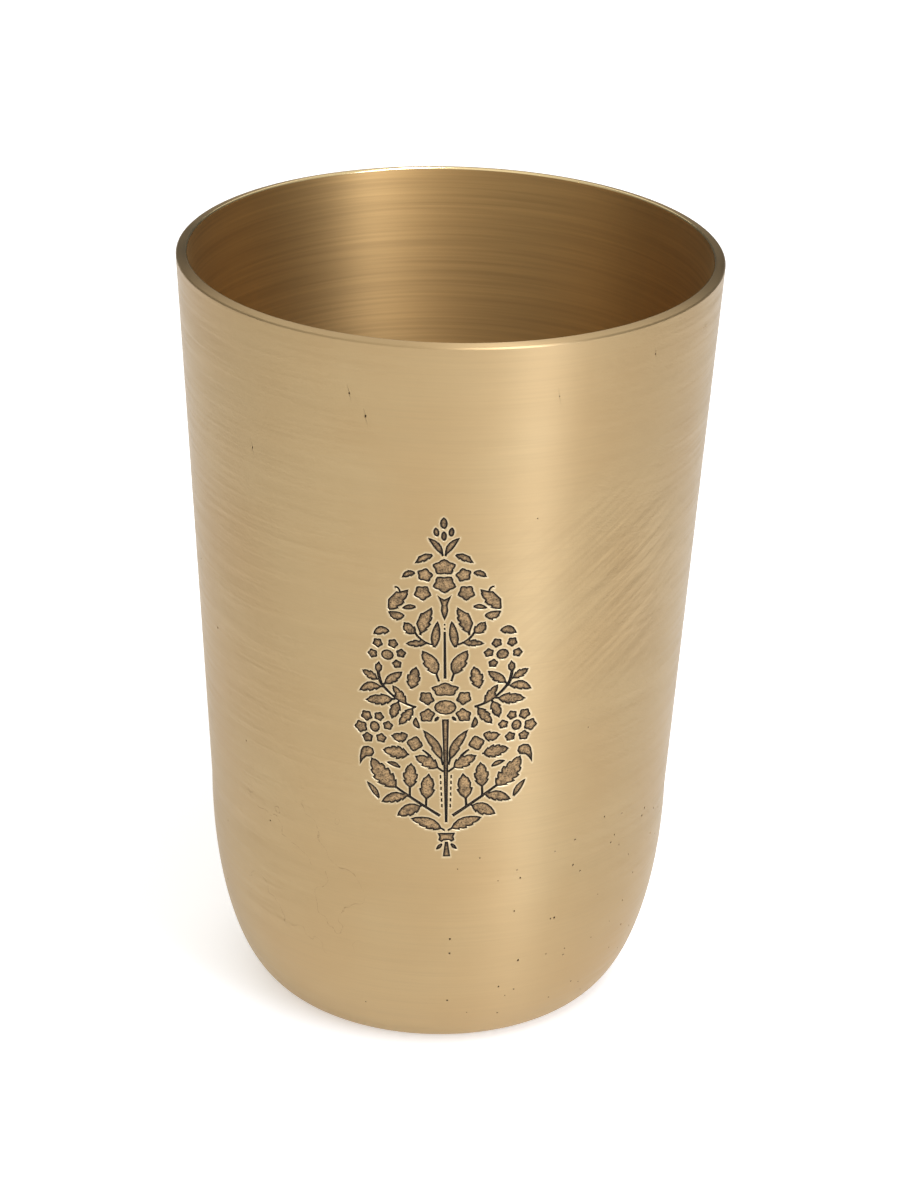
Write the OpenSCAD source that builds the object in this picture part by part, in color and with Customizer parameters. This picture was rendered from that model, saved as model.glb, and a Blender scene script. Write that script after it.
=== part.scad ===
// Brass drinking tumbler with an etched flowering-plant motif.
// Millimetres, +Z up, origin at the middle of the standing ring, motif facing -Y.

/* [Vessel] */
// Outer diameter across the rim
rim_d = 76; // [70:1:84]
// Overall height
height = 112; // [108:1:122]
// Outer diameter where the straight wall meets the rounded corner
shoulder_d = 67; // [62:1:69]
// Height of the rounded corner above the table
corner_h = 31; // [24:1:31]
// Outer diameter of the flat standing ring
foot_d = 47; // [40:1:52]
// Wall thickness at the rim
rim_wall = 1.6; // [1.4:0.1:2.4]
// Wall thickness where the rounded corner begins
shoulder_wall = 2; // [1.6:0.1:3]
// Thickness of the floor
floor_t = 3; // [2:0.2:5]

/* [Rim and foot] */
// Outward slope of the rim's top land, in degrees
rim_slope = 12; // [4:1:20]
// Width of the rim's broken edges
rim_break = 0.2; // [0.1:0.05:0.3]
// Inner diameter of the standing ring
ring_d = 37; // [30:1:38]
// Depth of the turned recess inside the standing ring
recess_depth = 0.6; // [0.3:0.1:1.2]

/* [Motif] */
// Height of the motif, drawn 52 units high
motif_h = 53.8; // [46:0.2:56]
// Height of the foot of the motif above the table
motif_z = 34.4; // [32:0.2:40]
// How far the motif's foot lies to the right of the middle
motif_x = 1.5; // [-4:0.1:4]
// How far the motif leans to the left, in degrees
motif_lean = 1.6; // [-5:0.1:5]
// Depth of the etched pockets
etch_depth = 0.3; // [0.2:0.05:0.4]
// How far the dark fill lies below the wall's surface
fill_sink = 0.05; // [0.02:0.01:0.1]
// Depth of the scallops round a petal, as a share of its radius
petal_ripple = 0.13; // [0.05:0.01:0.18]

/* [Hidden] */
$fn = 256;
rim_r = rim_d / 2;
shoulder_r = shoulder_d / 2;
foot_r = foot_d / 2;
ring_r = ring_d / 2;
rim_drop = (rim_wall - 2 * rim_break) * tan(rim_slope);
wall_top = height - rim_drop - rim_break;
drawn_h = 52;
motif_scale = motif_h / drawn_h;
corner_steps = 14;
stalk = 0.3;
brass = "#cbaa74";
black_fill = "#2a211b";

PAIRED = ["outer_leaves", "lower_branch", "lower_flower", "inner_leaves", "middle_branch",
          "upper_flower", "upper_leaves"];
SINGLE = ["foot_tie", "foot_leaves", "main_stem", "centre_flower", "calyx", "top_flower", "crown_buds"];

// ---------- the turned brass vessel ----------

// Outer radius of the straight wall at a height
function wall_r(z) = shoulder_r + (rim_r - shoulder_r) * (z - corner_h) / (wall_top - corner_h);

// Quarter-ellipse corner, from the straight wall at the top down to the flat at the bottom
function corner(wall_radius, flat_radius, top_z, flat_z) =
    [for (i = [0:corner_steps])
        let (a = 90 * i / corner_steps)
        [flat_radius + (wall_radius - flat_radius) * cos(a), top_z - (top_z - flat_z) * sin(a)]];

function reversed(points) = [for (i = [len(points) - 1:-1:0]) points[i]];

module tumbler_body() {
    rim_land = [[rim_r - rim_wall, height - rim_break],
                [rim_r - rim_wall + rim_break, height],
                [rim_r - rim_break, height - rim_drop],
                [rim_r, wall_top]];
    outside = corner(shoulder_r, foot_r, corner_h, 0);
    underside = [[ring_r, 0], [ring_r - recess_depth, recess_depth], [0, recess_depth]];
    inside = reversed(corner(shoulder_r - shoulder_wall, foot_r, corner_h, floor_t));
    color(brass)
    difference() {
        rotate_extrude() polygon(concat(rim_land, outside, underside, [[0, floor_t]], inside));
        on_wall(-1, etch_depth) whole_motif();
    }
}

// Cuts a drawing into the front of the wall, between two depths below its surface.
// The drawing is the motif as seen from the front: X to the right, Y up from its foot.
module on_wall(from_depth, to_depth) {
    z0 = motif_z - 1;
    z1 = motif_z + motif_h + 1;
    intersection() {
        translate([motif_x, 0, motif_z]) rotate([90, 0, 0]) linear_extrude(height = rim_r + 3)
            rotate(motif_lean) scale(motif_scale) children();
        translate([0, 0, z0]) difference() {
            cylinder(h = z1 - z0, r1 = wall_r(z0) - from_depth, r2 = wall_r(z1) - from_depth);
            translate([0, 0, -1])
                cylinder(h = z1 - z0 + 2, r1 = wall_r(z0 - 1) - to_depth, r2 = wall_r(z1 + 1) - to_depth);
        }
    }
}

// ---------- outlines, each a closed list of points in drawing units along the wall ----------

// A point of the unrolled wall, seen from the front
function wrapped(p) =
    let (r = wall_r(motif_z + motif_scale * p.y) / motif_scale)
    [r * sin(p.x / r * 180 / PI), p.y];

// Puts a local point, X across and Y along, onto the way from one point to another
function along(p, from, to) =
    let (d = (to - from) / norm(to - from))
    [from.x + d.y * p.x + d.x * p.y, from.y - d.x * p.x + d.y * p.y];

// Half-width of a leaf blade at a share of its length, 1 at its widest
function blade(t) = pow(sin(180 * pow(t, 0.8)), 0.75);

// One side of a leaf blade as [half-width, share of its length]: each tooth swells, points and steps back
function blade_side(teeth) =
    teeth == 0
        ? [for (t = [0.12, 0.3, 0.5, 0.7, 0.88]) [blade(t), t]]
        : [for (i = [0:teeth - 1], step = [[0.35, 1], [0.9, 1.1], [0.97, 0.8]])
            let (t = (i + step[0]) / (teeth + 0.35))
            [step[1] * blade(t), t]];

// A leaf from its base to its tip. teeth is the count on both sides, or a list of the counts to the right and left
// of its growth. neck is the share of its length that is bare stalk, and bow bends it sideways, to its right where
// it is above 0
function leaf(base, tip, width, teeth = 0, neck = 0, bow = 0) =
    let (length = norm(tip - base),
         counts = is_list(teeth) ? teeth : [teeth, teeth],
         half = [for (count = counts)
             concat([[stalk / 2, 0]], neck > 0 ? [[stalk / 2, length * neck]] : [],
                    [for (s = blade_side(count)) [s[0] * width / 2, length * (neck + (1 - neck) * s[1])]])],
         outline = concat(half[0], [[0, length]], [for (p = reversed(half[1])) [-p.x, p.y]]))
    [for (p = outline)
        let (t = p.y / length)
        along([p.x + bow * length * 4 * t * (1 - t), p.y], base, tip)];

// A closed ring of points round a centre, turned clockwise, with a list of radius factors from its top
function ring(centre, size, turn, factors) =
    [for (i = [0:len(factors) - 1])
        let (a = 360 * i / len(factors),
             x = size.x / 2 * factors[i] * sin(a),
             y = size.y / 2 * factors[i] * cos(a))
        centre + [x * cos(turn) + y * sin(turn), y * cos(turn) - x * sin(turn)]];

// A scalloped petal
function petal(centre, size, turn = 0, lobes = 5) =
    ring(centre, size, turn, [for (i = [0:4 * lobes - 1]) 1 + petal_ripple * cos(90 * i)]);

// A plain oval, pushed out at its top to a point where point is above 0
function oval(centre, size, turn = 0, point = 0) =
    ring(centre, size, turn, [for (i = [0:11]) i == 0 ? 1 + point : 1]);

// A tapering stem on a curve from one point to another, pulled towards a third
function stem(from, pull, to, w0, w1, steps = 6) =
    let (line = [for (i = [0:steps])
             let (t = i / steps)
             (1 - t) * (1 - t) * from + 2 * t * (1 - t) * pull + t * t * to],
         side = [for (i = [0:steps])
             let (d = line[min(i + 1, steps)] - line[max(i - 1, 0)], w = (w0 + (w1 - w0) * i / steps) / 2)
             w * [d.y, -d.x] / norm(d)])
    concat([for (i = [0:steps]) line[i] + side[i]],
           [for (i = [steps:-1:0]) line[i] - side[i]]);

module draw(outlines)
    for (o = outlines) polygon([for (p = o) wrapped(p)]);

// Petals in a ring round an oval eye, for the smaller flowers: each is [angle, spread, size]
function flower(centre, eye_size, petals) =
    concat([oval(centre, eye_size)],
           [for (p = petals)
               petal(centre + p[1] * [cos(p[0]), sin(p[0])], [p[2], p[2]], 90 - p[0])]);

// ---------- the drawings, left half where a part is paired ----------

module foot_tie() draw([
    [[-1.2, 4.05], [1.2, 4.05], [0.95, 3.45], [1.1, 2.9], [0.65, 2.6], [0.35, 2.85], [-0.35, 2.85],
     [-0.65, 2.6], [-1.1, 2.9], [-0.95, 3.45]],
    [[-0.2, 2.65], [0.2, 2.65], [0.5, 0.3], [-0.5, 0.3]],
    leaf([-0.6, 2.35], [-1.4, 1.4], 0.55),
    leaf([0.6, 2.35], [1.4, 1.4], 0.55)]);

module foot_leaves() draw([
    leaf([-0.2, 4.45], [-4.8, 6.25], 1.8, [0, 4], 0.12, 0.05),
    leaf([0.2, 4.45], [4.8, 6.25], 1.8, [4, 0], 0.12, -0.05)]);

module main_stem() {
    draw([stem([0, 5.7], [0, 13], [0, 21.6], 0.28, 0.84),
          stem([0, 27.7], [0, 31], [0, 34.7], 0.36, 0.3),
          oval([0, 35.15], [0.26, 0.36]),
          oval([0, 35.75], [0.24, 0.34])]);
    for (side = [-1, 1], i = [0:5])
        translate([side * (0.56 + 0.03 * i), 8.3 + 0.9 * i]) square([0.18, 0.55], center = true);
    for (side = [-1, 1])
        draw([leaf([side * 0.36, 14.6], [side * 3.05, 20.0], 1.4, side < 0 ? [0, 2] : [2, 0], 0.16, -side * 0.07),
              leaf([side * 0.3, 13.6], [side * 4.15, 15.95], 1.9, 3, 0.22, -side * 0.04),
              stem([side * 3.1, 16.9], [side * 2.6, 16.6], [side * 2.0, 15.9], 0.26, 0.4, 3)]);
}

module outer_leaves() draw([
    leaf([-9.1, 9.0], [-10.8, 11.4], 0.95, 0, 0, 0.05),
    [[-11.7, 13.8], [-11.25, 14.65], [-10.75, 15.2], [-9.95, 15.35], [-9.62, 15.95], [-9.8, 16.6],
     [-10.45, 16.88], [-11.2, 16.7], [-11.55, 16.1], [-11.72, 15.1]],
    leaf([-6.1, 14.05], [-8.0, 14.7], 0.8, 0, 0, 0.08),
    leaf([-4.85, 16.1], [-8.5, 16.55], 2.0, 4, 0.05, 0.01)]);

module lower_branch() draw([
    stem([-0.85, 6.75], [-4.0, 9.0], [-6.9, 11.1], 0.46, 0.36, 8),
    leaf([-3.1, 8.35], [-6.65, 6.5], 1.85, [0, 3], 0.1, 0.04),
    leaf([-4.8, 9.7], [-8.8, 8.45], 1.6, [0, 4], 0.12, 0.08),
    leaf([-6.7, 10.85], [-10.1, 15.2], 2.7, 5, 0.02, -0.06),
    leaf([-4.85, 9.7], [-4.6, 14.9], 2.0, 3, 0.26, -0.01),
    leaf([-2.7, 8.1], [-2.25, 13.35], 2.05, 2, 0.24, -0.01)]);

module lower_flower() draw(
    flower([-9.5, 19.95], [1.45, 1.7], [[11, 1.85, 1.35], [69, 1.72, 1.35], [126, 1.9, 1.55], [187, 1.93, 1.75],
                                       [240, 2.02, 1.45], [298, 1.85, 1.4]]));

module inner_leaves() draw([
    petal([-4.1, 17.8], [2.0, 2.15], 12, 4),
    leaf([-5.0, 19.05], [-7.35, 18.85], 1.6, 2, 0, -0.14),
    leaf([-3.5, 20.15], [-3.9, 21.9], 0.85, 0, 0, -0.13),
    leaf([-4.5, 26.05], [-3.75, 29.5], 1.8, 3, 0.04),
    leaf([-0.8, 27.3], [-3.0, 31.9], 2.0, [0, 3], 0.22, 0.05)]);

module centre_flower() {
    draw([oval([0, 23.4], [3.0, 2.3]), petal([0, 26.05], [3.4, 2.0])]);
    for (side = [-1, 1])
        draw([petal([side * 2.45, 24.75], [1.85, 2.05], side * 40),
              petal([side * 2.4, 22.15], [1.85, 2.15], side * 140),
              leaf([side * 0.9, 22.0], [side * 1.45, 21.25], 0.5)]);
}

module middle_branch() draw([
    stem([-3.85, 23.35], [-6.6, 24.0], [-8.4, 26.5], 0.36, 0.4, 8),
    stem([-8.4, 26.4], [-8.85, 27.5], [-8.9, 28.8], 0.42, 0.42, 4),
    leaf([-8.9, 28.2], [-8.75, 29.9], 1.1, 1),
    leaf([-4.1, 23.45], [-6.2, 20.5], 1.45, 3, 0.12),
    leaf([-6.1, 24.25], [-7.15, 21.35], 1.5, 2, 0.12, 0.03),
    leaf([-6.6, 24.45], [-10.8, 23.85], 1.7, [2, 4], 0.1),
    leaf([-5.05, 23.75], [-7.0, 26.5], 1.25, 3, 0.1),
    leaf([-8.3, 26.1], [-11.6, 25.1], 1.4, [0, 3], 0.08, 0.12),
    leaf([-8.3, 26.4], [-5.6, 28.6], 1.4, [3, 0], 0.12),
    leaf([-8.85, 27.1], [-11.15, 28.3], 1.3, 3, 0.08)]);

module upper_flower() draw(
    flower([-7.6, 30.95], [1.75, 1.6], [[-45, 1.8, 1.25], [11, 1.87, 1.3], [66, 1.9, 1.35], [128, 2.1, 1.35],
                                       [180, 2.0, 1.3]]));

module upper_leaves() draw([
    leaf([-1.4, 32.35], [-0.9, 36.3], 1.25),
    stem([-1.2, 32.7], [-3.0, 32.85], [-4.0, 34.7], 0.3, 0.3, 5),
    leaf([-2.4, 32.95], [-5.2, 32.75], 1.1, 3, 0.05, 0.02),
    leaf([-3.2, 34.1], [-1.65, 38.3], 1.9, [4, 1], 0.08, -0.06),
    leaf([-3.9, 34.35], [-5.35, 36.0], 1.6, 2, 0, -0.06),
    leaf([-5.25, 36.85], [-7.45, 37.35], 1.35, [0, 2], 0, -0.12),
    leaf([-7.3, 34.6], [-9.5, 33.8], 1.3, [0, 2], 0, 0.12),
    leaf([-3.75, 38.3], [-5.6, 37.95], 0.8, 0, 0, 0.05),
    leaf([-7.35, 37.7], [-4.65, 40.8], 1.95, [3, 1], 0, -0.03),
    stem([-5.75, 40.2], [-5.9, 41.2], [-6.5, 41.0], 0.25, 0.32, 4)]);

module calyx() draw([
    [[0, 36.35], [0.28, 37.0], [0.5, 37.8], [0.4, 38.6], [0.62, 39.3], [0.95, 40.1], [0.42, 39.65], [0, 39.45],
     [-0.42, 39.65], [-0.95, 40.1], [-0.62, 39.3], [-0.4, 38.6], [-0.5, 37.8], [-0.28, 37.0]]]);

module top_flower() {
    draw([petal([0, 44.1], [2.85, 2.2]), petal([0, 41.65], [2.85, 2.4], 180)]);
    for (side = [-1, 1])
        draw([petal([side * 2.5, 42.95], [1.85, 2.0], side * 60),
              petal([side * 2.85, 40.35], [2.1, 2.15], side * 110)]);
}

module crown_buds() {
    draw([oval([0, 50.4], [1.0, 1.6], 0, 0.15),
          oval([0, 48.6], [0.76, 1.35], 0, 0.1)]);
    for (side = [-1, 1])
        draw([oval([side * 0.97, 49.15], [0.78, 1.3], side * 8, 0.1),
              leaf([side * 0.14, 45.75], [side * 2.05, 48.35], 0.95, 0, 0.1, -side * 0.08),
              leaf([side * 1.5, 45.9], [side * 3.85, 44.6], 1.1, side < 0 ? [1, 3] : [3, 1], 0, -side * 0.06),
              leaf([side * 3.8, 43.3], [side * 5.55, 42.45], 0.95, 2, 0, -side * 0.1)]);
}

// One drawing by its name; a paired one is the left half, and mirrors to the right
module drawing(name) {
    if (name == "foot_tie") foot_tie();
    if (name == "foot_leaves") foot_leaves();
    if (name == "main_stem") main_stem();
    if (name == "centre_flower") centre_flower();
    if (name == "calyx") calyx();
    if (name == "top_flower") top_flower();
    if (name == "crown_buds") crown_buds();
    if (name == "outer_leaves") outer_leaves();
    if (name == "lower_branch") lower_branch();
    if (name == "lower_flower") lower_flower();
    if (name == "inner_leaves") inner_leaves();
    if (name == "middle_branch") middle_branch();
    if (name == "upper_flower") upper_flower();
    if (name == "upper_leaves") upper_leaves();
}

module whole_motif() {
    for (n = SINGLE) drawing(n);
    for (n = PAIRED) {
        drawing(n);
        mirror([1, 0]) drawing(n);
    }
}

module dark_fill() color(black_fill) on_wall(fill_sink, etch_depth) children();

tumbler_body();
for (n = SINGLE)
    dark_fill() drawing(n);
for (n = PAIRED) {
    dark_fill() drawing(n);
    dark_fill() mirror([1, 0]) drawing(n);
}
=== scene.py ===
"""A turned brass tumbler with an etched, dark-filled flowering plant on its front.

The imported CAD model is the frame. The wall is turned again in fine steps, and its etched pockets and their
dark fill follow the outlines of the CAD fill nodes. Outlines are worked out in millimetres and go into the
meshes in metres.
"""

import math

import bmesh
import bpy
import numpy as np
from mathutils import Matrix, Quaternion, Vector, geometry, kdtree, noise


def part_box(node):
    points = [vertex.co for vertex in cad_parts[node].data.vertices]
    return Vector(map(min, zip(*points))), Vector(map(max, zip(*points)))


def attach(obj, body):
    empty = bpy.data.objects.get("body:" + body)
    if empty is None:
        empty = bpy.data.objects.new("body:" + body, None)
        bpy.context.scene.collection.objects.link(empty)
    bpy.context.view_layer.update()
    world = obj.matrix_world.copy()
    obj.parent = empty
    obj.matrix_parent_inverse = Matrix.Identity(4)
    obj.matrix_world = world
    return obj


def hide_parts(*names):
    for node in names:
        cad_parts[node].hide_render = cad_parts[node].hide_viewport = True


bl_info = {
    "name": "Etched Brass Tumbler",
    "version": (1, 0, 0),
    "blender": (4, 5, 0),
    "location": "3D View > Sidebar > Tumbler",
    "description": "Builds a turned brass tumbler with an etched, dark-filled flowering plant on its front",
    "category": "Object",
}

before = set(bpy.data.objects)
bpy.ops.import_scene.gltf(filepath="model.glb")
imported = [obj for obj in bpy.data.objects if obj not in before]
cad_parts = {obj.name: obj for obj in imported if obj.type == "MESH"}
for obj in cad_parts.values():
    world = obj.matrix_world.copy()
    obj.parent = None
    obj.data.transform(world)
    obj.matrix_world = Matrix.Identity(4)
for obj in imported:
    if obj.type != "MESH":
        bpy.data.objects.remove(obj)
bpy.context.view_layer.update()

MM = 0.001
BODY_NODE = "tumbler_body"
FILL_NODES = sorted(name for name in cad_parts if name.startswith("fill_"))
RIM_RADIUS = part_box(BODY_NODE)[1].x
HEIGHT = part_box(BODY_NODE)[1].z

# The turned shell: steps round it, how many the etched window takes on each side of the front, and the
# window's top edge and row height in millimetres. The window's bottom edge is where the corner begins.
TURNS = 320
WINDOW_TURNS = 24
WINDOW_TOP = 91.0
ROW = 1.0
# Steps along the turned section
FLOOR_STEPS = 6
INSIDE_CORNER_STEPS = 28
INSIDE_WALL_STEPS = 10
TOP_STEPS = 7
OUTSIDE_CORNER_STEPS = 36

# The etching, in millimetres: the bevel round a pocket and the shares of it tried in tight spots, how far the
# painted highlight round a pocket reaches, and the spacing of points on a pocket's floor and on the land near
# it.
# Those on the land reach out to NEAR and stay LAND_GAP clear of the bevel.
BEVEL = 0.06
BEVEL_SHARES = (1, 0.6, 0.3, 0.1)
PAINTED_HIGHLIGHT_REACH = 0.2
FLOOR_GRID = 0.9
LAND_GRID = 0.24
NEAR = 0.7
LAND_GAP = 0.09

# The fill, in millimetres: the spacing of its points, its depth at the edge, how much higher its middle is,
# how far in from the edge it rises, its unevenness and the scale of that, and its gap over the floor
FILL_GRID = 0.2
FILL_EDGE_DEPTH = 0.13
FILL_CROWN = 0.09
FILL_RISE = 0.45
FILL_GRAIN = 0.02
FILL_GRAIN_SCALE = 3.1
FILL_FLOOR_GAP = 0.01

# Casting pits: how many to a square millimetre low on the right and elsewhere, how far low on the right goes,
# and the smallest and largest reach of a pit, in millimetres
PIT_SEED = 11
PITS_LOW_RIGHT = 0.045
PITS_ELSEWHERE = 0.0016
PITS_RIGHT = (2, 36)
PITS_LOW = 36
PIT_REACH = (0.1, 0.24)

# Points closer than these are one: on a drawing in millimetres, in a mesh and in the CAD mesh in metres
DRAWN_ALIKE = 1e-5
MESH_ALIKE = 1e-6
CAD_ALIKE = 2e-6

# How close to the straight wall's surface a point counts as on it, in millimetres
ON_WALL = 0.002
# Edges sharper than these stay sharp
SHARP_BRASS = math.radians(30)
SHARP_FILL = math.radians(50)

# Marks on the brushed brass: (middle, reach) in millimetres
SCRATCHED = ((-20, -27, 28), 17)
BUFFED = ((19, -28, 74), 22)

# name, azimuth and elevation in degrees, distance in metres, (width, height) in metres, watts, colour
LAMPS = (
    ("key_softbox", 39, 26, 1.0, (0.2, 0.8), 4.2, "#dbe6ff"),
    ("high_softbox", 38, 66, 0.8, (0.12, 0.4), 2.9, "#f4f6ff"),
    ("back_softbox", 180, 50, 2.2, (2.6, 1.2), 12, "#ffffff"),
)
# The room's light: its strength in front and behind, how far along Y each is reached, and what is added
# overhead, with how far along Z that begins
ROOM_BRIGHT = 0.85
ROOM_DARK = 0.1
ROOM_FRONT = -0.9
ROOM_SIDE = 0.15
ROOM_ABOVE = 0.7
ROOM_ABOVE_FROM = 0.3
# The card's half width, and its place just under the standing ring, in metres
CARD_HALF = 3.0
CARD_Z = -0.00005
# The camera: lens in millimetres, target and distance in metres, elevation in degrees, roll
LENS = 103.5
CAMERA_TARGET = (0.0015, 0, 0.0584)
CAMERA_DISTANCE = 0.5
CAMERA_ELEVATION = 25.0
CAMERA_ROLL = math.radians(1.44)


# ---------- colours and nodes ----------

def linear(hex_colour):
    """The linear RGB of an sRGB hex colour."""
    channels = [int(hex_colour[i:i + 2], 16) / 255 for i in (1, 3, 5)]
    return tuple(c / 12.92 if c <= 0.04045 else ((c + 0.055) / 1.055) ** 2.4 for c in channels)


def rgba(colour):
    return (*colour, 1.0)


def feed(tree, node, inputs):
    """Sets or links a node's inputs, which are given by name or number."""
    for key, value in inputs.items():
        if isinstance(value, bpy.types.NodeSocket):
            tree.links.new(value, node.inputs[key])
        else:
            node.inputs[key].default_value = value


def add(tree, kind, inputs=None, **settings):
    """Adds a node with its settings, and feeds its inputs."""
    made = tree.nodes.new(kind)
    for name, value in settings.items():
        setattr(made, name, value)
    feed(tree, made, inputs or {})
    return made


# ---------- what a user would change ----------

def size_field(name, default, description):
    """A length in metres that a user may change."""
    return bpy.props.FloatProperty(
        name=name, description=description, default=default, subtype="DISTANCE", unit="LENGTH")


def colour_field(name, default, description):
    """A colour that a user may change, from its sRGB hex value."""
    return bpy.props.FloatVectorProperty(
        name=name, description=description, default=linear(default), size=3, min=0, max=1, subtype="COLOR")


class TumblerSizes(bpy.types.PropertyGroup):
    """Sizes of the turned body that the frame's box doesn't give."""

    shoulder_radius: size_field(
        "Shoulder Radius", 0.0335, "Outer radius where the straight wall meets the rounded corner")
    corner_height: size_field("Corner Height", 0.031, "Height of the rounded corner above the table")
    foot_radius: size_field("Foot Radius", 0.0235, "Outer radius of the flat standing ring")
    ring_radius: size_field("Ring Radius", 0.0185, "Inner radius of the standing ring")
    recess_depth: size_field("Recess Depth", 0.0006, "Depth of the turned recess inside the standing ring")
    rim_wall: size_field("Rim Wall", 0.0016, "Wall thickness at the rim")
    shoulder_wall: size_field("Shoulder Wall", 0.002, "Wall thickness where the rounded corner begins")
    floor_thickness: size_field("Floor Thickness", 0.003, "Thickness of the floor")
    rim_slope: bpy.props.FloatProperty(
        name="Rim Slope", description="Outward slope of the rim's land",
        default=math.radians(12), subtype="ANGLE", unit="ROTATION")
    rim_break: size_field("Rim Break", 0.0002, "Width of the rim's broken edges")
    etch_depth: size_field("Etch Depth", 0.0003, "Depth of the etched pockets")


class TumblerLooks(bpy.types.PropertyGroup):
    """Colours and finishes."""

    brass: colour_field("Brass", "#b39b73", "Colour of the brushed brass")
    inside_brass: colour_field("Inside Brass", "#c3a06a", "Colour of the brass inside, which is wiped less")
    fill_edge: colour_field("Fill at Edges", "#0e0a08", "Colour of the dark fill where it is thickest")
    fill_worn: colour_field("Worn Fill", "#ae8f66", "Colour of the fill where wiping has thinned it")
    brush_roughness: bpy.props.FloatProperty(
        name="Brushed Roughness", description="Roughness of the brushed brass",
        default=0.44, min=0, max=1, subtype="FACTOR")


# ---------- the turned profile ----------

class Wall:
    """The tumbler's sizes in millimetres, and the places that follow from them."""

    def __init__(self, sizes):
        self.height = HEIGHT / MM
        self.rim = RIM_RADIUS / MM
        self.shoulder = sizes.shoulder_radius / MM
        self.corner = sizes.corner_height / MM
        self.foot = sizes.foot_radius / MM
        self.ring = sizes.ring_radius / MM
        self.recess = sizes.recess_depth / MM
        self.rim_wall = sizes.rim_wall / MM
        self.shoulder_wall = sizes.shoulder_wall / MM
        self.floor = sizes.floor_thickness / MM
        self.slope = sizes.rim_slope
        self.rim_break = sizes.rim_break / MM
        self.etch = sizes.etch_depth / MM
        self.drop = (self.rim_wall - 2 * self.rim_break) * math.tan(self.slope)
        self.top = self.height - self.drop - self.rim_break
        self.mean = (self.shoulder + self.rim) / 2

    def radius(self, z):
        """Outer radius of the straight wall at a height."""
        return self.shoulder + (self.rim - self.shoulder) * (z - self.corner) / (self.top - self.corner)

    def unroll(self, x, z):
        """A point on the wall's front as (way round at the mean radius, height)."""
        return np.arcsin(x / self.radius(z)) * self.mean, z

    def place(self, points, depth=0.0):
        """Points of the unrolled wall, some depth below its surface, in metres."""
        points = np.asarray(points, float)
        angle = points[:, 0] / self.mean
        radius = self.radius(points[:, 1]) - depth
        return np.column_stack([radius * np.sin(angle), -radius * np.cos(angle), points[:, 1]]) * MM


def arc(centre, radii, start, end, steps):
    """Points of an ellipse's arc from one angle in degrees to another, both ends included."""
    return [
        (centre[0] + radii[0] * math.cos(math.radians(a)), centre[1] + radii[1] * math.sin(math.radians(a)))
        for a in np.linspace(start, end, steps + 1)
    ]


def rounded(points, radius, steps=3):
    """A polyline with its inner corners rounded off."""
    out = [points[0]]
    for before, here, after in zip(points, points[1:], points[2:]):
        before, here, after = Vector(before), Vector(here), Vector(after)
        into, away = (before - here).normalized(), (after - here).normalized()
        start, end = here + into * radius, here + away * radius
        for i in range(steps + 1):
            t = i / steps
            out.append(tuple((1 - t) ** 2 * start + 2 * t * (1 - t) * here + t * t * end))
    out.append(points[-1])
    return out


def profile(wall):
    """The half section from the floor's centre, up the inside, over the rim and down to the middle below.

    It is a list of (finish, points) runs that share their end points. Finish 0 is the brushed outside,
    1 the inside and 2 the polished edge inside the rim.
    """
    inner_shoulder = wall.shoulder - wall.shoulder_wall
    inner_rim = wall.rim - wall.rim_wall
    inner_top = wall.height - wall.rim_break
    middle = (wall.foot, wall.corner)
    inside = [(r, wall.floor) for r in np.linspace(0, wall.foot, FLOOR_STEPS + 1)[:-1]]
    inside += arc(
        middle, (inner_shoulder - wall.foot, wall.corner - wall.floor), 270, 360, INSIDE_CORNER_STEPS)
    inside += [
        (inner_shoulder + (inner_rim - inner_shoulder) * t, wall.corner + (inner_top - wall.corner) * t)
        for t in np.linspace(0, 1, INSIDE_WALL_STEPS + 1)[1:]
    ]
    lip_corners = [
        inside[-1],
        (inner_rim + wall.rim_break, wall.height),
        (wall.rim - wall.rim_break, wall.height - wall.drop),
        (wall.rim, wall.top),
    ]
    soft = wall.rim_break / 3
    rim = rounded([inside[-2], *lip_corners, (wall.radius(WINDOW_TOP), WINDOW_TOP)], soft)
    lip_end = next(i for i, p in enumerate(rim) if p[0] > inner_rim + wall.rim_break + soft / 2)
    inside, lip, land = inside[:-1], rim[1:lip_end + 1], rim[lip_end:-1]
    inside.append(lip[0])
    upper = [(wall.radius(z), z) for z in np.linspace(land[-1][1], WINDOW_TOP, TOP_STEPS + 1)]
    rows = round((WINDOW_TOP - wall.corner) / ROW)
    window = [(wall.radius(z), z) for z in np.linspace(WINDOW_TOP, wall.corner, rows + 1)]
    corner = arc(middle, (wall.shoulder - wall.foot, wall.corner), 0, -90, OUTSIDE_CORNER_STEPS)
    recess = [(wall.ring, 0), (wall.ring - wall.recess, wall.recess), (0, wall.recess)]
    under = rounded([corner[-1], *recess], wall.recess / 4)
    return [(1, inside), (2, lip), (0, land), (0, upper), ("window", window), (0, corner), (0, under)]


def profile_mesh(wall):
    """The half section as a chain of edges in the XZ plane, with its points' way along it and finishes."""
    points, finishes, windows = [], [], []
    for finish, run in profile(wall):
        if not points:
            points.append(run[0])
        for point in run[1:]:
            points.append(point)
            finishes.append(0 if finish == "window" else finish)
            windows.append(finish == "window")
    mesh = bpy.data.meshes.new("turned profile")
    stretches = [(i, i + 1) for i in range(len(points) - 1)]
    mesh.from_pydata([(r * MM, 0, z * MM) for r, z in points], stretches, [])
    steps = np.hypot(*np.diff(np.array(points), axis=0).T)
    for name, kind, domain, values in (
        ("turned", "FLOAT", "POINT", np.concatenate([[0], np.cumsum(steps)])),
        ("finish", "INT", "EDGE", np.array(finishes, np.int32)),
        ("window", "INT", "EDGE", np.array(windows, np.int32)),
    ):
        mesh.attributes.new(name, kind, domain).data.foreach_set("value", values)
    return mesh


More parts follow.
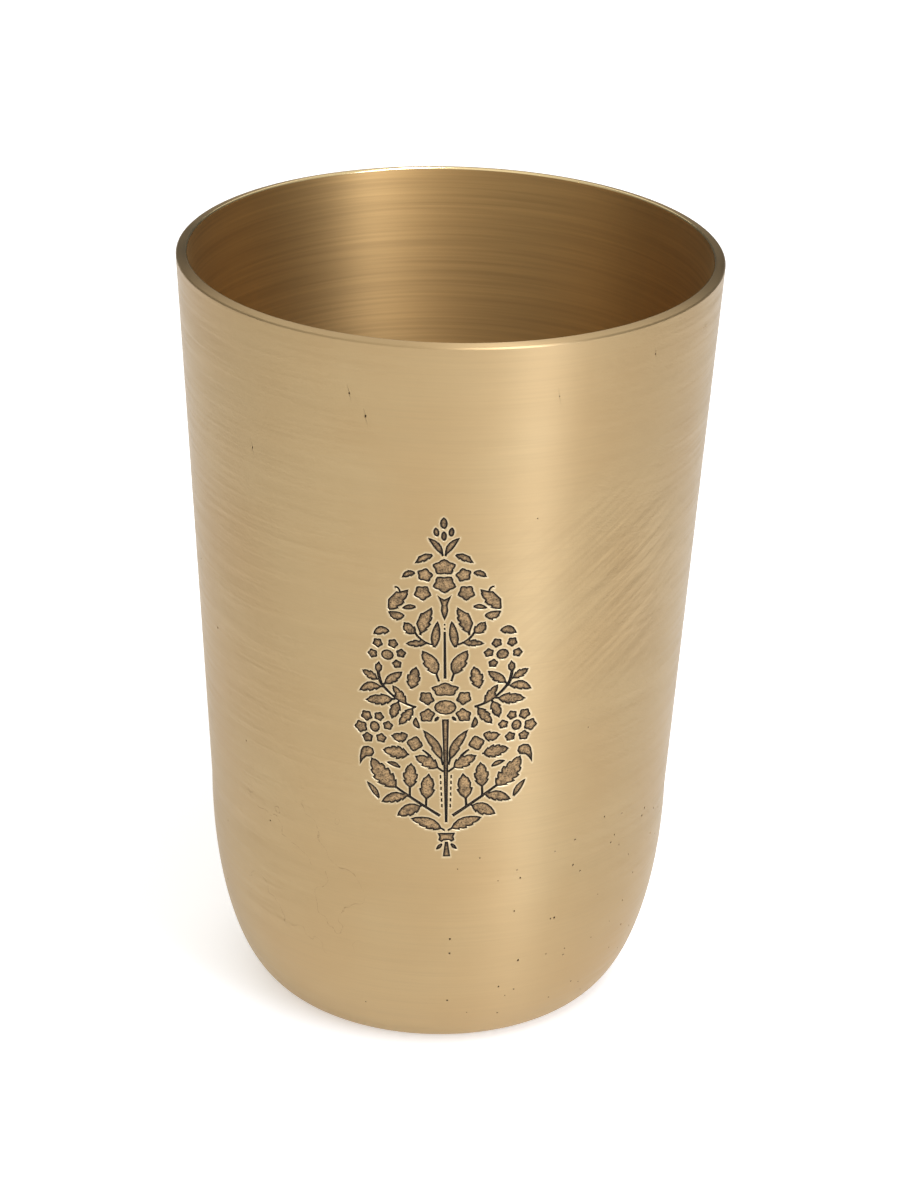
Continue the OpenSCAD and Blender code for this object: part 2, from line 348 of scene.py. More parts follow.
def turning_tree():
    """Geometry Nodes that turn a half section into a shell, leaving the etched window open.

    The shell starts as a grid: its columns go round the tumbler from the front, its rows along the section.
    """
    tree = bpy.data.node_groups.new("turned shell", "GeometryNodeTree")
    face = tree.interface
    face.new_socket("Section", in_out="INPUT", socket_type="NodeSocketGeometry")
    for name, low in (("Turns", 12), ("Window Turns", 0)):
        socket = face.new_socket(name, in_out="INPUT", socket_type="NodeSocketInt")
        socket.min_value = low
    for name in ("Outside Finish", "Inside Finish", "Lip Finish"):
        face.new_socket(name, in_out="INPUT", socket_type="NodeSocketMaterial")
    face.new_socket("Shell", in_out="OUTPUT", socket_type="NodeSocketGeometry")

    given = add(tree, "NodeGroupInput").outputs
    size = add(tree, "GeometryNodeAttributeDomainSize", {"Geometry": given["Section"]}).outputs
    columns = add(tree, "ShaderNodeMath", {0: given["Turns"], 1: 1}, operation="ADD").outputs[0]
    grid = add(tree, "GeometryNodeMeshGrid", {
        "Vertices X": columns,
        "Vertices Y": size["Point Count"],
    }).outputs["Mesh"]
    index = add(tree, "GeometryNodeInputIndex").outputs[0]

    def row_and_column(count):
        share = add(tree, "ShaderNodeMath", {0: index, 1: count}, operation="DIVIDE").outputs[0]
        column = add(tree, "ShaderNodeMath", {0: share}, operation="FLOOR").outputs[0]
        row = add(tree, "ShaderNodeMath", {0: index, 1: count}, operation="MODULO").outputs[0]
        return row, column

    def stored(name, kind):
        reader = add(tree, "GeometryNodeInputNamedAttribute", {"Name": name}, data_type=kind)
        return reader.outputs["Attribute"]

    def sampled(kind, value, row, domain):
        return add(tree, "GeometryNodeSampleIndex", {
            "Geometry": given["Section"], "Value": value, "Index": row,
        }, data_type=kind, domain=domain).outputs["Value"]

    row, column = row_and_column(size["Point Count"])
    position = add(tree, "GeometryNodeInputPosition").outputs[0]
    turned = stored("turned", "FLOAT")
    at = add(tree, "ShaderNodeSeparateXYZ", {0: sampled("FLOAT_VECTOR", position, row, "POINT")}).outputs
    turn = add(tree, "ShaderNodeMath", {0: column, 1: given["Turns"]}, operation="DIVIDE").outputs[0]
    angle = add(tree, "ShaderNodeMath", {0: turn, 1: 2 * math.pi}, operation="MULTIPLY").outputs[0]
    sine = add(tree, "ShaderNodeMath", {0: angle}, operation="SINE").outputs[0]
    cosine = add(tree, "ShaderNodeMath", {0: angle}, operation="COSINE").outputs[0]
    across = add(tree, "ShaderNodeMath", {0: at["X"], 1: sine}, operation="MULTIPLY").outputs[0]
    forward = add(tree, "ShaderNodeMath", {0: at["X"], 1: cosine}, operation="MULTIPLY").outputs[0]
    back = add(tree, "ShaderNodeMath", {0: forward, 1: -1}, operation="MULTIPLY").outputs[0]
    place = add(tree, "ShaderNodeCombineXYZ", {"X": across, "Y": back, "Z": at["Z"]}).outputs[0]
    way = add(tree, "GeometryNodeStoreNamedAttribute", {
        "Geometry": grid, "Name": "turned", "Value": sampled("FLOAT", turned, row, "POINT"),
    }, data_type="FLOAT", domain="POINT").outputs[0]
    shell = add(tree, "GeometryNodeSetPosition", {"Geometry": way, "Position": place}).outputs[0]

    stretches = add(tree, "ShaderNodeMath", {0: size["Point Count"], 1: 1}, operation="SUBTRACT").outputs[0]
    row, column = row_and_column(stretches)
    for name in ("finish", "window"):
        shell = add(tree, "GeometryNodeStoreNamedAttribute", {
            "Geometry": shell, "Name": name, "Value": sampled("INT", stored(name, "INT"), row, "EDGE"),
        }, data_type="INT", domain="FACE").outputs[0]
    shell = add(tree, "GeometryNodeStoreNamedAttribute", {
        "Geometry": shell, "Name": "column", "Value": column,
    }, data_type="FLOAT", domain="FACE").outputs[0]

    half = add(tree, "ShaderNodeMath", {0: given["Turns"], 1: 2}, operation="DIVIDE").outputs[0]
    middle = add(tree, "ShaderNodeMath", {0: stored("column", "FLOAT"), 1: 0.5}, operation="ADD").outputs[0]
    off_back = add(tree, "ShaderNodeMath", {0: middle, 1: half}, operation="SUBTRACT").outputs[0]
    distance = add(tree, "ShaderNodeMath", {0: off_back}, operation="ABSOLUTE").outputs[0]
    reach = add(tree, "ShaderNodeMath", {0: half, 1: given["Window Turns"]}, operation="SUBTRACT").outputs[0]
    in_front = add(tree, "ShaderNodeMath", {0: distance, 1: reach}, operation="GREATER_THAN").outputs[0]
    in_window = stored("window", "INT")
    cut = add(tree, "ShaderNodeMath", {0: in_front, 1: in_window}, operation="MULTIPLY").outputs[0]
    shell = add(tree, "GeometryNodeDeleteGeometry", {
        "Geometry": shell, "Selection": cut,
    }, domain="FACE").outputs[0]
    shell = add(tree, "GeometryNodeMergeByDistance", {"Geometry": shell, "Distance": MESH_ALIKE}).outputs[0]
    shell = add(tree, "GeometryNodeSetShadeSmooth", {"Geometry": shell}).outputs[0]
    shell = add(tree, "GeometryNodeRealizeInstances", {"Geometry": shell}).outputs[0]
    finish = stored("finish", "INT")
    for number, name in enumerate(("Outside Finish", "Inside Finish", "Lip Finish")):
        chosen = add(tree, "FunctionNodeCompare", {2: finish, 3: number}, data_type="INT", operation="EQUAL")
        shell = add(tree, "GeometryNodeSetMaterial", {
            "Geometry": shell, "Selection": chosen.outputs[0], "Material": given[name],
        }).outputs[0]
    add(tree, "NodeGroupOutput", {"Shell": shell})
    return tree


def run_nodes(mesh, tree, values, name):
    """A plain mesh: what a Geometry Nodes tree makes of a mesh, with values for its named inputs."""
    carrier = bpy.data.objects.new(name, mesh)
    bpy.context.scene.collection.objects.link(carrier)
    modifier = carrier.modifiers.new(name, "NODES")
    modifier.node_group = tree
    for item in tree.interface.items_tree:
        if item.in_out == "INPUT" and item.name in values:
            modifier[item.identifier] = values[item.name]
    carrier.update_tag()
    bpy.context.view_layer.update()
    evaluated = carrier.evaluated_get(bpy.context.evaluated_depsgraph_get())
    made = bpy.data.meshes.new_from_object(evaluated)
    made.name = name
    if made.materials[0] is None:
        made.materials.pop(index=0)
    carrier.modifiers.remove(modifier)
    bpy.data.objects.remove(carrier)
    return made


# ---------- the etched outlines ----------

def outlines(node, wall):
    """The closed outlines of a CAD fill node's solids on the unrolled wall, anticlockwise, in millimetres."""
    shape = bmesh.new()
    shape.from_mesh(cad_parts[node].data)
    bmesh.ops.remove_doubles(shape, verts=shape.verts, dist=CAD_ALIKE)
    shape.verts.index_update()
    shape.faces.index_update()
    shallow = [
        wall.radius(v.co.z / MM) - math.hypot(v.co.x, v.co.y) / MM < wall.etch / 2
        for v in shape.verts
    ]
    top = [all(shallow[v.index] for v in f.verts) for f in shape.faces]
    follows = {}
    for f in shape.faces:
        for loop in f.loops if top[f.index] else ():
            if not any(top[other.index] for other in loop.edge.link_faces if other is not f):
                follows[loop.vert] = loop.link_loop_next.vert
    found = []
    while follows:
        start, after = follows.popitem()
        ring = [start]
        while after is not start:
            ring.append(after)
            after = follows.pop(after)
        points = np.array([(v.co.x / MM, v.co.z / MM) for v in ring])
        found.append(np.column_stack(wall.unroll(points[:, 0], points[:, 1])))
    shape.free()
    found = [thinned(ring) for ring in found]
    return [ring if signed_area(ring) > 0 else ring[::-1] for ring in found]


def thinned(ring, gap=0.06, sag=0.003):
    """An outline, begun at its farthest point, without points near their neighbour or on a straight run."""
    farthest = int(np.argmax(np.hypot(*(ring - ring.mean(0)).T)))
    ring = np.roll(ring, -farthest, axis=0)
    kept = [ring[0]]
    for here, after in zip(ring[1:], np.roll(ring, -1, axis=0)[1:]):
        away, along = here - kept[-1], after - kept[-1]
        off_line = abs(away[0] * along[1] - away[1] * along[0]) / max(math.hypot(*along), 1e-9)
        if math.hypot(*away) > gap and off_line > sag:
            kept.append(here)
    if len(kept) > 3 and math.hypot(*(kept[-1] - kept[0])) < gap:
        kept.pop()
    return np.array(kept)


def signed_area(ring):
    """Area of a closed outline, positive where it runs anticlockwise."""
    after = np.roll(ring, -1, axis=0)
    return 0.5 * float(np.sum(ring[:, 0] * after[:, 1] - after[:, 0] * ring[:, 1]))


def inside(ring, points):
    """Which points lie inside a closed outline."""
    result = np.zeros(len(points), bool)
    for (x0, y0), (x1, y1) in zip(ring, np.roll(ring, -1, axis=0)):
        crosses = (y0 > points[:, 1]) != (y1 > points[:, 1])
        with np.errstate(divide="ignore", invalid="ignore"):
            result ^= crosses & (points[:, 0] < (x1 - x0) * (points[:, 1] - y0) / (y1 - y0) + x0)
    return result


def edge_tree(rings, step=0.05):
    """A search tree of points spaced closely along outlines."""
    points = []
    for ring in rings:
        for a, b in zip(ring, np.roll(ring, -1, axis=0)):
            count = max(1, int(np.hypot(*(b - a)) / step))
            points.extend(a + (b - a) * i / count for i in range(count))
    tree = kdtree.KDTree(len(points))
    for i, p in enumerate(points):
        tree.insert((p[0], p[1], 0), i)
    tree.balance()
    return tree


def distances(tree, points):
    """How far each point lies from the nearest point of a search tree."""
    return np.array([tree.find((x, y, 0))[2] for x, y in points])


def hex_grid(low, high, spacing):
    """Points of a triangular grid that covers a box."""
    rows = np.arange(low[1], high[1], spacing * math.sqrt(3) / 2)
    return np.array([
        (x + (spacing / 2 if i % 2 else 0), y)
        for i, y in enumerate(rows)
        for x in np.arange(low[0], high[0], spacing)
    ])


def widened(ring, amount, room):
    """An outline moved outwards by an amount, or by less where there is little room and at sharp tips.

    A point takes up to two fifths of its room, and at least 0.15 of it, so that facing edges stay apart.
    """
    longest_tip, edge_share = 1.6, 1.5
    before, after = np.roll(ring, 1, axis=0), np.roll(ring, -1, axis=0)
    into, away = ring - before, after - ring
    into_length, away_length = np.hypot(*into.T), np.hypot(*away.T)
    room = np.minimum(room, np.minimum(into_length, away_length) * edge_share)
    into /= into_length[:, None]
    away /= away_length[:, None]
    normal = np.column_stack([into[:, 1] + away[:, 1], -into[:, 0] - away[:, 0]])
    length = np.maximum(np.hypot(*normal.T), 1e-6)
    spare = np.maximum(room * 0.15, np.minimum(room * 0.4, room - amount * 1.25))
    reach = np.minimum(np.minimum(2 / length, longest_tip) * amount, spare)
    return ring + normal / length[:, None] * reach[:, None]


def own_room(ring):
    """How far each point of an outline lies from the outline's other edges."""
    start, run = ring, np.roll(ring, -1, axis=0) - ring
    offset = ring[:, None] - start[None]
    share = np.clip((offset * run).sum(2) / (run ** 2).sum(1), 0, 1)
    away = np.hypot(*np.moveaxis(offset - share[..., None] * run, 2, 0))
    own = np.arange(len(ring))
    away[own, own] = np.inf
    away[own, own - 1] = np.inf
    return away.min(1)


def crosses_itself(ring):
    """Whether an outline's edges meet anywhere but at its own points."""
    points = [Vector(p) for p in ring]
    out = geometry.delaunay_2d_cdt(points, [], [list(range(len(ring)))], 0, DRAWN_ALIKE, True)
    return len(out[0]) != len(ring)


def bevelled(ring, room):
    """An outline moved outwards by the pocket's bevel, or by less where it would cross itself."""
    room = np.minimum(room, own_room(ring))
    for share in BEVEL_SHARES:
        wide = widened(ring, BEVEL * share, room)
        if not crosses_itself(wide):
            return wide
    raise RuntimeError(f"no bevel fits the outline near {ring[0]}")


def triangulate(rings, loose, boundary=()):
    """Triangles over outlines and loose points.

    Gives (points, triangles, whether an outline holds each triangle, the numbers of each outline's points).
    """
    coords, edges, faces, starts = [], [], [], []
    for ring in rings:
        first = len(coords)
        starts.append(first)
        coords.extend(map(tuple, ring))
        faces.append(list(range(first, first + len(ring))))
    if len(boundary):
        first = len(coords)
        coords.extend(map(tuple, boundary))
        count = len(boundary)
        edges.extend((first + i, first + (i + 1) % count) for i in range(count))
    coords.extend(map(tuple, loose))
    out = geometry.delaunay_2d_cdt([Vector(c) for c in coords], edges, faces, 0, DRAWN_ALIKE, True)
    points = np.array([tuple(v) for v in out[0]])
    triangles = np.array(out[2])
    middles = points[triangles].mean(1)
    held = np.zeros(len(triangles), bool)
    for ring in rings:
        held |= inside(ring, middles)
    where = {}
    for new, originals in enumerate(out[3]):
        for old in originals:
            where[old] = new
    numbers = [[where[start + i] for i in range(len(ring))] for start, ring in zip(starts, rings)]
    return points, triangles, held, numbers


# ---------- the etched window in the wall ----------

def etched_window(wall, rings):
    """The front of the wall with its pockets, in metres, whose border fits the shell's open window."""
    reach = WINDOW_TURNS / TURNS * 2 * math.pi * wall.mean
    columns = np.linspace(-reach, reach, 2 * WINDOW_TURNS + 1)
    rows = np.linspace(wall.corner, WINDOW_TOP, round((WINDOW_TOP - wall.corner) / ROW) + 1)
    border = [(x, rows[0]) for x in columns[:-1]] + [(columns[-1], y) for y in rows[:-1]]
    border += [(x, rows[-1]) for x in columns[:0:-1]] + [(columns[0], y) for y in rows[:0:-1]]

    wide = []
    for i, ring in enumerate(rings):
        others = edge_tree([other for j, other in enumerate(rings) if j != i])
        wide.append(bevelled(ring, distances(others, ring)))
    edges = edge_tree(wide)
    coarse = np.array([(x, y) for x in columns[1:-1] for y in rows[1:-1]])
    drawn = np.vstack(wide)
    fine = hex_grid(drawn.min(0) - NEAR, drawn.max(0) + NEAR, LAND_GRID)
    coarse = coarse[distances(edges, coarse) > NEAR]
    away = distances(edges, fine)
    fine = fine[(away < NEAR) & (away > LAND_GAP)]
    loose = np.vstack([coarse, fine])
    covered = np.zeros(len(loose), bool)
    for ring in wide:
        covered |= inside(ring, loose)
    points, triangles, held, numbers = triangulate(wide, loose[~covered], border)

    mesh = bmesh.new()
    # A painted highlight: 1 on each pocket's bevelled edge, falling to 0 a little way out on the land
    painted_highlight = mesh.verts.layers.float.new("painted_highlight")
    near_edge = np.clip(1 - distances(edges, points) / PAINTED_HIGHLIGHT_REACH, 0, 1)
    land = [mesh.verts.new(p) for p in wall.place(points)]
    for vert, value in zip(land, near_edge):
        vert[painted_highlight] = value
    for corners in triangles[~held]:
        mesh.faces.new([land[i] for i in corners])
    for ring, outer in zip(rings, numbers):
        count = len(ring)
        edge = [mesh.verts.new(p) for p in wall.place(ring, BEVEL)]
        foot = [mesh.verts.new(p) for p in wall.place(ring, wall.etch)]
        for vert in edge:
            vert[painted_highlight] = 1
        for i in range(count):
            j = (i + 1) % count
            mesh.faces.new([land[outer[i]], edge[i], edge[j], land[outer[j]]])
            mesh.faces.new([edge[i], foot[i], foot[j], edge[j]])
        floor_points, floor_faces, _, floor_ring = patch(ring, FLOOR_GRID)
        floor = [None] * len(floor_points)
        for i, number in enumerate(floor_ring):
            floor[number] = foot[i]
        for i, p in enumerate(wall.place(floor_points, wall.etch)):
            floor[i] = floor[i] or mesh.verts.new(p)
        for corners in floor_faces:
            mesh.faces.new([floor[i] for i in corners])
    if sum(not edge.is_manifold for edge in mesh.edges) != len(border):
        raise RuntimeError("the etched window isn't closed between its pockets")
    return mesh


def sink_pits(mesh, wall):
    """Sinks a seeded scatter of casting pits into the wall, most of them low on its right."""
    lowest, highest, smallest_face = 4, wall.top - 2, 0.3
    uneven, hollow = (0.85, 1.1), (0.6, 1.0)
    pit = mesh.verts.layers.float.new("pit")
    chance = np.random.default_rng(PIT_SEED)
    mesh.normal_update()
    chosen = []
    for f in list(mesh.faces):
        x, y, z = f.calc_center_median() / MM
        size = f.calc_area() / MM ** 2
        outside = f.normal.x * x + f.normal.y * y > 0
        if not outside or not lowest <= z <= highest or size < smallest_face:
            continue
        low_right = PITS_RIGHT[0] < x < PITS_RIGHT[1] and y < 0 and z < PITS_LOW
        if chance.random() < size * (PITS_LOW_RIGHT if low_right else PITS_ELSEWHERE):
            chosen.append(f)
    for f in chosen:
        corners, middle, normal = list(f.verts), f.calc_center_median(), f.normal.copy()
        sides = zip(corners, corners[1:] + corners[:1])
        room = min((middle - (a.co + b.co) / 2).length for a, b in sides) * 0.7
        reach = min(room, chance.uniform(*PIT_REACH) * MM)
        ring = []
        for corner in corners:
            spoke = (corner.co - middle).normalized() * reach
            for turn in (-math.pi / 2, math.pi / 2):
                spin = Quaternion(normal, turn / len(corners) * chance.uniform(*uneven))
                ring.append(mesh.verts.new(middle + spin @ spoke * chance.uniform(*uneven)))
        bottom = mesh.verts.new(middle - normal * reach * chance.uniform(*hollow))
        bottom[pit] = 1
        slot, count = f.material_index, len(ring)
        mesh.faces.remove(f)
        made = [mesh.faces.new((ring[i], ring[(i + 1) % count], bottom)) for i in range(count)]
        for i, corner in enumerate(corners):
            a, b, c = ring[2 * i], ring[2 * i + 1], ring[(2 * i + 2) % count]
            made.append(mesh.faces.new((corner, b, a)))
            made.append(mesh.faces.new((corner, corners[(i + 1) % len(corners)], c, b)))
        for face in made:
            face.material_index = slot


def patch(ring, spacing):
    """Triangles that fill an outline.

    Gives (points, triangles, each point's distance from the edge, the numbers of the outline's points).
    """
    edges = edge_tree([ring])
    loose = hex_grid(ring.min(0), ring.max(0), spacing)
    loose = loose[inside(ring, loose)]
    if len(loose):
        loose = loose[distances(edges, loose) > spacing * 0.45]
    points, triangles, held, (numbers,) = triangulate([ring], loose)
    away = distances(edges, points)
    away[numbers] = 0
    return points, triangles[held], away, numbers


# ---------- materials ----------

def material(name):
    """A new material with its tree, its shader and its Object coordinates in millimetres."""
    made = bpy.data.materials.new(name)
    made.use_nodes = True
    tree = made.node_tree
    tree.nodes.clear()
    shader = add(tree, "ShaderNodeBsdfPrincipled")
    add(tree, "ShaderNodeOutputMaterial", {"Surface": shader.outputs[0]})
    coordinates = add(tree, "ShaderNodeTexCoord").outputs["Object"]
    place = add(tree, "ShaderNodeVectorMath", {0: coordinates, 3: 1 / MM}, operation="SCALE").outputs[0]
    return made, tree, shader, place


def brushed_brass(looks):
    """Brass brushed round its axis on a lathe: satin, streaked along the brushing, and dark in its pits."""
    made, tree, shader, place = material("satin brushed brass")
    painted_highlight = add(tree, "ShaderNodeAttribute", attribute_name="painted_highlight").outputs["Fac"]
    at = add(tree, "ShaderNodeSeparateXYZ", {0: place}).outputs

    def streaks(length, width, detail):
        """Noise drawn out round the tumbler, with its length round it and its width in millimetres."""
        x = add(tree, "ShaderNodeMath", {0: at["X"], 1: length}, operation="DIVIDE").outputs[0]
        y = add(tree, "ShaderNodeMath", {0: at["Y"], 1: length}, operation="DIVIDE").outputs[0]
        z = add(tree, "ShaderNodeMath", {0: at["Z"], 1: width}, operation="DIVIDE").outputs[0]
        vector = add(tree, "ShaderNodeCombineXYZ", {"X": x, "Y": y, "Z": z}).outputs[0]
        return add(tree, "ShaderNodeTexNoise", {
            "Vector": vector, "Scale": 1, "Detail": detail, "Roughness": 0.6,
        }).outputs["Fac"]

    fine = streaks(14, 0.3, 3)
    broad = streaks(40, 2.2, 2)
    blotch = add(tree, "ShaderNodeTexNoise", {"Vector": place, "Scale": 0.05, "Detail": 2}).outputs["Fac"]
    both = add(tree, "ShaderNodeMix", {0: 0.2, 2: fine, 3: broad}).outputs[0]
    tone = add(tree, "ShaderNodeMapRange", {0: both, 1: 0.3, 2: 0.7, 3: 0.92, 4: 1.06}).outputs[0]
    colour = add(tree, "ShaderNodeVectorMath", {0: looks.brass, 3: tone}, operation="SCALE").outputs[0]
    dull = add(tree, "ShaderNodeMapRange", {0: blotch, 1: 0.35, 2: 0.7, 3: 0, 4: 0.25}).outputs[0]
    colour = add(tree, "ShaderNodeMix", {
        0: dull, 6: colour, 7: rgba(linear("#a88557")),
    }, data_type="RGBA").outputs[2]

    # A painted highlight: the brass is mixed towards a pale colour round each pocket's edge
    bright = add(tree, "ShaderNodeMath", {0: painted_highlight, 1: 0.5}, operation="MULTIPLY").outputs[0]
    colour = add(tree, "ShaderNodeMix", {
        0: bright, 6: colour, 7: rgba(linear("#ecdcb8")),
    }, data_type="RGBA").outputs[2]

    def near(middle, reach):
        """1 at a place on the tumbler, falling to 0 at a distance from it, in millimetres."""
        away = add(tree, "ShaderNodeVectorMath", {0: place, 1: middle}, operation="DISTANCE").outputs["Value"]
        return add(tree, "ShaderNodeMapRange", {
            0: away, 1: reach * 0.4, 2: reach, 3: 1, 4: 0,
        }, interpolation_type="SMOOTHSTEP").outputs[0]

    # Faint wavy scratches low on the left: the contour lines of a slow noise
    slow = add(tree, "ShaderNodeTexNoise", {"Vector": place, "Scale": 0.085, "Detail": 3}).outputs["Fac"]
    off = add(tree, "ShaderNodeMath", {0: slow, 1: 0.52}, operation="SUBTRACT").outputs[0]
    off = add(tree, "ShaderNodeMath", {0: off}, operation="ABSOLUTE").outputs[0]
    line = add(tree, "ShaderNodeMapRange", {0: off, 1: 0.001, 2: 0.003, 3: 1, 4: 0}).outputs[0]
    broken = add(tree, "ShaderNodeMapRange", {0: fine, 1: 0.42, 2: 0.6, 3: 0, 4: 0.55}).outputs[0]
    scratch = add(tree, "ShaderNodeMath", {0: line, 1: broken}, operation="MULTIPLY").outputs[0]
    scratch = add(tree, "ShaderNodeMath", {0: scratch, 1: near(*SCRATCHED)}, operation="MULTIPLY").outputs[0]
    colour = add(tree, "ShaderNodeMix", {
        0: scratch, 6: colour, 7: rgba(linear("#6f5636")),
    }, data_type="RGBA").outputs[2]

    # Casting pits are darker towards their bottom
    sunk = add(tree, "ShaderNodeAttribute", attribute_name="pit").outputs["Fac"]
    sunk = add(tree, "ShaderNodeMapRange", {0: sunk, 1: 0.05, 2: 0.4, 3: 0, 4: 0.9}).outputs[0]
    colour = add(tree, "ShaderNodeMix", {
        0: sunk, 6: colour, 7: rgba(linear("#2c2016")),
    }, data_type="RGBA").outputs[2]

    # Buffing that crosses the brushing on the right
    slant = add(tree, "ShaderNodeVectorRotate", {
        "Vector": place, "Axis": (0, 1, 0), "Angle": math.radians(38),
    }, rotation_type="AXIS_ANGLE").outputs[0]
    drawn_out = {0: slant, 1: (0.07, 0.07, 1.6)}
    slant = add(tree, "ShaderNodeVectorMath", drawn_out, operation="MULTIPLY").outputs[0]
    crossing = add(tree, "ShaderNodeTexNoise", {"Vector": slant, "Scale": 1, "Detail": 3}).outputs["Fac"]
    crossing = add(tree, "ShaderNodeMapRange", {0: crossing, 1: 0.35, 2: 0.65, 3: -0.06, 4: 0.06}).outputs[0]
    crossing = add(tree, "ShaderNodeMath", {0: crossing, 1: near(*BUFFED)}, operation="MULTIPLY").outputs[0]

    rough = add(tree, "ShaderNodeMapRange", {
        0: fine, 1: 0.3, 2: 0.7, 3: looks.brush_roughness - 0.05, 4: looks.brush_roughness + 0.07,
    }).outputs[0]
    rough = add(tree, "ShaderNodeMath", {0: rough, 1: crossing}, operation="ADD").outputs[0]
    bump = add(tree, "ShaderNodeBump", {"Height": both, "Strength": 0.12, "Distance": 0.00003}).outputs[0]
    feed(tree, shader, {"Base Color": colour, "Roughness": rough, "Normal": bump})
    brush_round(tree, shader)
    return made


def brush_round(tree, shader):
    """Gives a shader the long highlights of bare metal brushed round the tumbler's axis."""
    tangent = add(tree, "ShaderNodeTangent", direction_type="RADIAL", axis="Z").outputs[0]
    feed(tree, shader, {
        "Metallic": 1.0, "Anisotropic": 0.8, "Anisotropic Rotation": 0.25, "Tangent": tangent,
    })


def turned_brass(looks):
    """Brass left as it came off the lathe inside: coarser rings, wiped less, and a shade browner."""
    made, tree, shader, place = material("turned brass inside")
    at = add(tree, "ShaderNodeSeparateXYZ", {0: place}).outputs
    turned = add(tree, "ShaderNodeAttribute", attribute_name="turned").outputs["Fac"]
    x = add(tree, "ShaderNodeMath", {0: at["X"], 1: 30}, operation="DIVIDE").outputs[0]
    y = add(tree, "ShaderNodeMath", {0: at["Y"], 1: 30}, operation="DIVIDE").outputs[0]
    z = add(tree, "ShaderNodeMath", {0: turned, 1: 0.5}, operation="DIVIDE").outputs[0]
    vector = add(tree, "ShaderNodeCombineXYZ", {"X": x, "Y": y, "Z": z}).outputs[0]
    rings = add(tree, "ShaderNodeTexNoise", {"Vector": vector, "Scale": 1, "Detail": 3}).outputs["Fac"]
    tone = add(tree, "ShaderNodeMapRange", {0: rings, 1: 0.3, 2: 0.7, 3: 0.88, 4: 1.08}).outputs[0]
    colour = add(tree, "ShaderNodeVectorMath", {0: looks.inside_brass, 3: tone}, operation="SCALE").outputs[0]
    bump = add(tree, "ShaderNodeBump", {"Height": rings, "Strength": 0.15, "Distance": 0.00004}).outputs[0]
    feed(tree, shader, {"Base Color": colour, "Roughness": 0.55, "Normal": bump})
    brush_round(tree, shader)
    return made


def polished_lip_painted_highlight():
    """The edge inside the rim: polished by wiping, with little left of the brushing, and given a paler colour
    than the brass as a painted highlight.
    """
    made, tree, shader, place = material("polished brass lip with painted highlight")
    grain = add(tree, "ShaderNodeTexNoise", {"Vector": place, "Scale": 0.8, "Detail": 3}).outputs["Fac"]
    rough = add(tree, "ShaderNodeMapRange", {0: grain, 1: 0.3, 2: 0.7, 3: 0.12, 4: 0.2}).outputs[0]
    # Painted highlight: the pale base colour stands in for light on the edge; the low roughness is the polish
    feed(tree, shader, {"Base Color": rgba(linear("#e6cf9d")), "Metallic": 1.0, "Roughness": rough})
    return made


def dark_lac(looks):
    """Black lac wiped into etched brass: thick and dark at the edges, thin and brown over the middle."""
    made, tree, shader, place = material("dark lac over etched brass")
    away = add(tree, "ShaderNodeAttribute", attribute_name="edge_distance").outputs["Fac"]
    mottle = add(tree, "ShaderNodeTexNoise", {"Vector": place, "Scale": 1.1, "Detail": 3}).outputs["Fac"]
    speckle = add(tree, "ShaderNodeTexNoise", {
        "Vector": place, "Scale": 4.5, "Detail": 3, "Roughness": 0.7,
    }).outputs["Fac"]
    worn = add(tree, "ShaderNodeMapRange", {0: away, 1: 0.15, 2: 0.4, 3: 0, 4: 1}).outputs[0]
    patches = add(tree, "ShaderNodeMapRange", {0: mottle, 1: 0.3, 2: 0.6, 3: 0.45, 4: 1}).outputs[0]
    specks = add(tree, "ShaderNodeMapRange", {0: speckle, 1: 0.36, 2: 0.56, 3: 0.15, 4: 1}).outputs[0]
    amount = add(tree, "ShaderNodeMath", {0: worn, 1: patches}, operation="MULTIPLY").outputs[0]
    amount = add(tree, "ShaderNodeMath", {0: amount, 1: specks}, operation="MULTIPLY").outputs[0]
    colour = add(tree, "ShaderNodeMix", {
        0: amount, 6: rgba(looks.fill_edge), 7: rgba(looks.fill_worn),
    }, data_type="RGBA").outputs[2]
    metal = add(tree, "ShaderNodeMath", {0: amount, 1: 0.6}, operation="MULTIPLY").outputs[0]
    rough = add(tree, "ShaderNodeMapRange", {0: amount, 1: 0, 2: 1, 3: 0.75, 4: 0.42}).outputs[0]
    bump = add(tree, "ShaderNodeBump", {"Height": speckle, "Strength": 0.4, "Distance": 0.00004}).outputs[0]
    feed(tree, shader, {
        "Base Color": colour, "Metallic": metal, "Roughness": rough, "Normal": bump,
        "Specular IOR Level": 0.2,
    })
    return made


def floor_card():
    """White card under the tumbler, which gives off a little light so that the shadow stays pale."""
    made, tree, shader, _ = material("white card")
    feed(tree, shader, {
        "Base Color": rgba(linear("#f4f4f4")), "Roughness": 0.9, "Specular IOR Level": 0.1,
        "Emission Color": (1, 1, 1, 1), "Emission Strength": 0.4,
    })
    return made


# ---------- the pieces ----------

def finished(made, name, sharp, slots):
    """A piece made from a bmesh: smooth, but for edges sharper than an angle."""
    bmesh.ops.recalc_face_normals(made, faces=made.faces)
    for edge in made.edges:
        edge.smooth = edge.calc_face_angle(0) < sharp
    for f in made.faces:
        f.smooth = True
    mesh = bpy.data.meshes.new(name)
    made.to_mesh(mesh)
    made.free()
    for slot in slots:
        mesh.materials.append(slot)
    piece = bpy.data.objects.new(name, mesh)
    bpy.context.scene.collection.objects.link(piece)
    return piece


